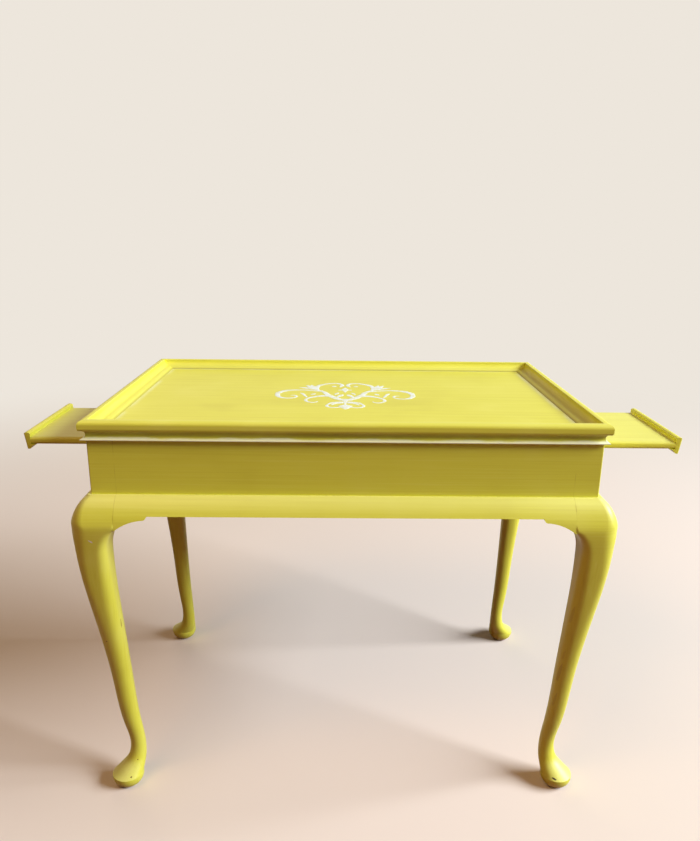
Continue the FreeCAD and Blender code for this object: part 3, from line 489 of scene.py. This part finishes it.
# %% Wear of the frame and the legs
CRACK = "#9A8A26"
JOINT_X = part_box("skirt_front")[1][0]
JOINT_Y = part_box("skirt_left")[1][1]
INSIDE_X = -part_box("apron_left")[1][0] + 0.5 * MM
INSIDE_Y = -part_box("apron_front")[1][1] + 0.5 * MM
HAIRLINE = 0.7 * MM
CRACK_LENGTH = 45 * MM
CHIPS = [
    # place in mm, half sizes in mm, turn about X, Y and Z in degrees, colour
    ((-375.5, -260.4, 467.4), (4.6, 6.0, 1.3), (0, 35, 0), "#F6F3E4"),
    ((356.8, -241.0, 23.7), (4.8, 4.0, 1.1), (0, 13, -27), "#3A2A14"),
    ((-348.0, -221.0, 44.4), (1.3, 4.0, 0.9), (0, 0, 0), "#8F7C1F"),
    ((-355.2, -239.4, 24.7), (1.7, 4.0, 1.0), (0, 0, 0), "#75661C"),
    ((-352.1, -231.0, 312.0), (4.0, 1.8, 8.5), (0, 0, 0), "#B5A733"),
    ((-373.6, -240.1, 286.2), (1.4, 4.0, 1.1), (0, 0, 0), "#9B8C2A"),
    ((356.0, -241.4, 337.0), (2.2, 6.0, 24.0), (0, 8, 0), "#D4CF46"),
    ((352.6, -234.0, 258.0), (1.6, 6.0, 12.0), (0, 8, 0), "#D8D348"),
    ((350.7, -228.4, 224.0), (2.4, 6.0, 28.0), (0, 8, 0), "#CFC845"),
    ((348.7, -224.6, 168.0), (2.0, 6.0, 18.0), (0, 8, 0), "#D4CF46"),
]


def bare_inside(tree, place, colour):
    """Beech on every face within the aprons' inner faces, from the skirt's foot up to the tray."""
    apart = add(tree, "ShaderNodeVectorMath", {0: place}, operation="ABSOLUTE")
    parts = add(tree, "ShaderNodeSeparateXYZ", {0: apart})
    tests = [("X", "LESS_THAN", INSIDE_X), ("Y", "LESS_THAN", INSIDE_Y),
             ("Z", "GREATER_THAN", SKIRT_FOOT), ("Z", "LESS_THAN", RIM_FOOT + 0.5 * MM)]
    inside = 1.0
    for axis, test, limit in tests:
        passed = add(tree, "ShaderNodeMath", {0: parts.outputs[axis], 1: limit}, operation=test)
        inside = add(tree, "ShaderNodeMath", {0: inside, 1: passed}, operation="MULTIPLY")
    return add(tree, "ShaderNodeMix", {0: inside, 6: colour, 7: beech_grain(tree, place)}, **COLOURS)


def cracked_joints(tree, place, colour):
    """A dark hair line where aprons, skirts and knees meet, in stretches."""
    apart = add(tree, "ShaderNodeVectorMath", {0: place}, operation="ABSOLUTE")
    off = add(tree, "ShaderNodeVectorMath", {0: apart, 1: (JOINT_X, JOINT_Y, 0)}, operation="SUBTRACT")
    gaps = add(tree, "ShaderNodeSeparateXYZ", {
        0: add(tree, "ShaderNodeVectorMath", {0: off}, operation="ABSOLUTE")})
    gap = add(tree, "ShaderNodeMath", {0: gaps.outputs["X"], 1: gaps.outputs["Y"]}, operation="MINIMUM")
    line = add(tree, "ShaderNodeMapRange", {
        "Value": gap, "From Min": HAIRLINE, "From Max": 0, "To Max": 0.35})
    stretch = add(tree, "ShaderNodeTexNoise", {"Vector": place, "Scale": 1 / CRACK_LENGTH, "Detail": 3.0})
    open_here = add(tree, "ShaderNodeMapRange", {
        "Value": stretch, "From Min": 0.42, "From Max": 0.58}, **SMOOTH)
    above = add(tree, "ShaderNodeMath", {0: gaps.outputs["Z"], 1: KNEE_FOOT}, operation="GREATER_THAN")
    upper = add(tree, "ShaderNodeMath", {0: above, 1: open_here}, operation="MULTIPLY")
    crack = add(tree, "ShaderNodeMath", {0: line, 1: upper}, operation="MULTIPLY")
    return add(tree, "ShaderNodeMix", {0: crack, 6: colour, 7: linear(CRACK)}, **COLOURS)


def chipped(tree, place, colour):
    """Each chip is the inside of a squashed ball with a ragged edge."""
    for where, half, turn, tone in CHIPS:
        ball = add(tree, "ShaderNodeMapping", {
            "Vector": place, "Location": np.array(where) * MM, "Rotation": np.radians(turn),
            "Scale": np.array(half) * MM}, vector_type="TEXTURE")
        reach = add(tree, "ShaderNodeVectorMath", {0: ball}, operation="LENGTH")
        ragged = add(tree, "ShaderNodeTexNoise", {"Vector": ball, "Scale": 1.6, "Detail": 2.0})
        edge = add(tree, "ShaderNodeMath", {0: reach, 1: ragged}, operation="ADD")
        share = add(tree, "ShaderNodeMapRange", {"Value": edge, "From Min": 1.5, "From Max": 1.25}, **SMOOTH)
        colour = add(tree, "ShaderNodeMix", {0: share, 6: colour, 7: linear(tone)}, **COLOURS)
    return colour


FRAME_MARKS = cracked_joints, bare_inside
LEG_MARKS = chipped, cracked_joints, bare_inside
print(f"{len(CHIPS)} chips, joints at x {JOINT_X:.4f} and y {JOINT_Y:.4f} m")

# %% [markdown]
# ## Finish every piece
#
# Each piece takes the finish that its real counterpart has. Boards are brushed along their length,
# the frame is brushed round in one go so that aprons, skirts and knees look continuous, and the pulls
# are worn smooth by hands, so their paint has no ridges.

# %% Put the finishes on the pieces
BROAD = 9 * MM      # streaks of a wide brush
tray_paint = hand_brushed_paint("chartreuse_paint_on_tray", ["X"], [pale_border, bare_inside],
                                streaks=0.35, streak_width=BROAD)
slide_paint = hand_brushed_paint("chartreuse_paint_on_slides", ["X"],
                                 streak_width=BROAD, ridges=0.5, painted_sheen=0.2)
rim_paint = hand_brushed_paint("chartreuse_paint_on_long_moulding", ["X"], RIM_MARKS, painted_sheen=0.12)
end_rim_paint = hand_brushed_paint("chartreuse_paint_on_end_moulding", ["Y"], RIM_MARKS, wax=0.2, painted_sheen=0.08)
pull_paint = hand_brushed_paint("chartreuse_paint_on_pulls", ["Y"], streaks=0.2, ridges=0.0, wax=0.4)
frame_paint = hand_brushed_paint("chartreuse_paint_round_frame", ["XY"], FRAME_MARKS,
                                 streaks=0.4, painted_sheen=0.35)
leg_paint = hand_brushed_paint("chartreuse_paint_down_legs", ["XY", "Z"], LEG_MARKS,
                               streaks=0.4, painted_sheen=0.35, soften=True)
FINISHES = {
    ("top_panel",): tray_paint,
    ("candle_slide",): slide_paint,
    ("rim_front", "rim_back"): rim_paint,
    ("rim_left", "rim_right"): end_rim_paint,
    ("slide_pull",): pull_paint,
    ("apron", "skirt", "knee_bracket"): frame_paint,
    ("leg",): leg_paint,
    ("corner_brace", "slide_runner", "slide_stop_pins"): bare_beech,
    ("brace_screws", "panel_screws"): screw_steel,
}
dressed = 0
for names, material in FINISHES.items():
    for name in filter(lambda node: node.startswith(names), nodes):
        for slot in nodes[name].material_slots:
            slot.material = material
        dressed += 1
print(f"{dressed} of {len(nodes)} pieces dressed")

# %% [markdown]
# ## Stencil in the tray
#
# A white scroll ornament is dabbed through a stencil in the middle of the tray. It could be drawn in
# the tray's material, but a stroke that curls and swells is easier to draw as a line with a width
# at each mark. Each stroke becomes a closed film of paint about a tenth of a millimetre high, so its
# edge catches the light as real paint does. The right half is drawn, and the left is its reflection.

# %% Strokes of the stencil
STENCIL_MIDDLE = -1.5       # mm, the stencil was laid a little left of the middle
HALF_STROKES = [
    # x from the middle line, y and width at each mark, in mm
    [(49, 26, 5), (51, 44, 7), (50, 58, 8), (45, 69, 8.5), (35, 78, 7), (23, 84, 6), (12, 82, 6.5),
     (5.5, 73, 7), (6, 62, 6), (10, 53, 3.5)],
    [(16, 56, 4), (20, 58, 9), (24, 57, 4)],
    [(46, 20, 5), (62, 25, 6), (76, 28, 5), (90, 27.5, 7), (103, 24, 9), (112, 16, 10), (117.5, 7, 9.5),
     (119.5, -5, 9), (117, -20, 8), (110, -30, 6.5), (100, -33.5, 5.5), (90, -31, 4.5), (84.5, -22, 4),
     (88, -13, 4), (96, -13, 3)],
    [(0, -46, 10), (11, -38, 12), (21, -24, 12), (29, -11, 11), (34, 4, 9), (39, 16, 8), (50, 26, 9)],
    [(24, -20, 8), (32, -15, 11), (42, -16, 9), (53, -22, 7), (62.5, -31, 5), (67.5, -43, 5.5),
     (65.5, -55, 5), (57.5, -62, 4.5), (50, -60, 4), (46.5, -54, 3)],
    [(49, 30, 9), (58, 45, 14), (66, 58, 9), (72, 67, 2)],
    [(50, 34, 7), (56, 50, 10), (61, 62, 6), (62, 69, 2)],
    [(53, 34, 8), (65, 41, 10), (75, 46, 7), (84, 49, 2)],
    [(11, 9, 2), (15, 2, 6), (18, -8, 2)],
    [(4, -4, 3), (8, -13, 9), (14, -24, 4)],
    [(0, -58, 6), (13, -59.5, 6.5), (23, -65, 6), (29.5, -76, 4), (30.5, -86, 5), (25, -94, 4.5),
     (16, -95, 4.5), (8, -91, 6), (0, -87, 6)],
    [(3, -63, 6), (12, -65, 7), (19, -71, 5), (23, -79, 2)],
    [(66.5, -26, 3), (71, -13, 5), (76, 1, 5), (80, 6, 2)],
    [(53, 3, 3), (56.5, -3, 7), (60, -9, 2)],
    [(3, 30, 5), (8, 30, 5), (13, 28, 2)],
]
MIDDLE_STROKES = [
    [(0, 47, 2), (0, 40, 8), (0, 32, 14), (0, 24, 8), (0, 12, 2)],
    [(0, -36, 5), (0, -42, 16), (0, -48, 12), (0, -56, 5), (0, -66, 4), (0, -78, 3.5)],
    [(0, -76, 5), (0, -84, 22), (0, -91, 22), (0, -98, 12), (0, -106, 3)],
]


def smooth_line(marks, steps=10):
    """A Catmull-Rom curve: a cubic between two marks, whose slope at a mark is half the step from the
    mark before it to the mark after it. The width follows the same rule."""
    marks = np.array(marks, dtype=float)
    ends = 2 * marks[[0, -1]] - marks[[1, -2]]
    padded = np.vstack([ends[:1], marks, ends[1:]])
    before, start, end, after = (padded[shift:len(padded) - 3 + shift] for shift in range(4))
    leave, arrive = (end - before) / 2, (after - start) / 2
    share = np.linspace(0, 1, steps, endpoint=False)[:, None, None]
    line = ((2 * share ** 3 - 3 * share ** 2 + 1) * start + (share ** 3 - 2 * share ** 2 + share) * leave
            + (3 * share ** 2 - 2 * share ** 3) * end + (share ** 3 - share ** 2) * arrive)
    return np.vstack([line.transpose(1, 0, 2).reshape(-1, marks.shape[1]), marks[-1:]])


def rounded_ends(line):
    """Draw the width in towards both ends as a half circle does, and let it waver a little between
    them, as dabbed paint does."""
    steps = np.linalg.norm(np.diff(line[:, :2], axis=0), axis=1)
    run = np.concatenate([[0], np.cumsum(steps)])
    share = np.clip(np.minimum(run, run[-1] - run) / (line[:, 2] / 2), 0.02, 1)
    waver = 1 + 0.10 * np.sin(run / 3.1) + 0.08 * np.sin(run / 1.3 + 1)
    width = line[:, 2] * waver * np.sqrt(1 - (1 - share) ** 2)
    return np.column_stack([line[:, :2], width])


lines = [rounded_ends(smooth_line(stroke)) for stroke in HALF_STROKES]
lines += [line * (-1, 1, 1) for line in lines]
lines += [rounded_ends(smooth_line(stroke)) for stroke in MIDDLE_STROKES]
print(f"{len(lines)} strokes, {sum(len(line) for line in lines)} stations")

# %% Film of stencil paint
FILM, SINK = 0.12 * MM, 0.05 * MM      # above the tray, and into it so that no gap shows
RING = 12
STENCIL_WHITE, STENCIL_THIN = "#EFFBF6", "#E6EFD6"
SPECKLE_SIZE, DAB_SIZE = 2.2 * MM, 11 * MM


def paint_film(line):
    """A ring of points at each station: the width across the line, crowned above the tray and
    shallow below it."""
    along = np.gradient(line[:, :2], axis=0)
    along /= np.linalg.norm(along, axis=1, keepdims=True)
    across = np.column_stack([-along[:, 1], along[:, 0]])
    turn = np.linspace(0, 2 * np.pi, RING, endpoint=False)
    reach = line[:, 2:] / 2 * np.cos(turn)
    flat = (line[:, None, :2] + across[:, None, :] * reach[..., None] + (STENCIL_MIDDLE, 0)) * MM
    height = np.where(np.sin(turn) > 0, FILM, SINK) * np.sin(turn) + TRAY_FLOOR
    return np.concatenate([flat, np.broadcast_to(height[:, None], (len(line), RING, 1))], axis=-1)


films = [paint_film(line) for line in lines]
first = np.cumsum([0] + [film.shape[0] * RING for film in films])
film_faces = []
for start, film in zip(first, films):
    stations = film.shape[0]
    film_faces += (grid_faces(stations, RING) + start).tolist()
    ends = np.arange(RING) + start
    film_faces += [ends[::-1].tolist(), (ends + (stations - 1) * RING).tolist()]

# Chalky white stencil paint: dabbed on, thin in places, and worn to the yellow in small specks
stencil_paint, tree, shader, place = new_material("chalky_white_stencil_paint")
dab = add(tree, "ShaderNodeTexNoise", {"Vector": place, "Scale": 1 / DAB_SIZE, "Detail": 3.0})
thin = add(tree, "ShaderNodeMapRange", {"Value": dab, "From Min": 0.45, "From Max": 0.70}, **SMOOTH)
colour = add(tree, "ShaderNodeMix", {0: thin, 6: linear(STENCIL_WHITE), 7: linear(STENCIL_THIN)}, **COLOURS)
speck = add(tree, "ShaderNodeTexNoise", {"Vector": place, "Scale": 1 / SPECKLE_SIZE, "Detail": 3.0})
patchy_share = add(tree, "ShaderNodeMapRange", {
    "Value": speck, "From Min": 0.57, "From Max": 0.68, "To Max": 0.75}, **SMOOTH)
colour = add(tree, "ShaderNodeMix", {0: patchy_share, 6: colour, 7: linear(PAINT["body"])}, **COLOURS)
tree.links.new(colour.outputs["Result"], shader.inputs["Base Color"])
shader.inputs["Roughness"].default_value = 0.6
shader.inputs["Specular IOR Level"].default_value = 0.3
film_points = np.vstack([film.reshape(-1, 3) for film in films])
stencil = new_piece("tray_stencil", film_points, film_faces, stencil_paint)
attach(stencil, "table")
print(f"stencil: {len(stencil.data.polygons)} faces, {np.ptp(np.vstack(lines)[:, 0]):.0f} mm across")
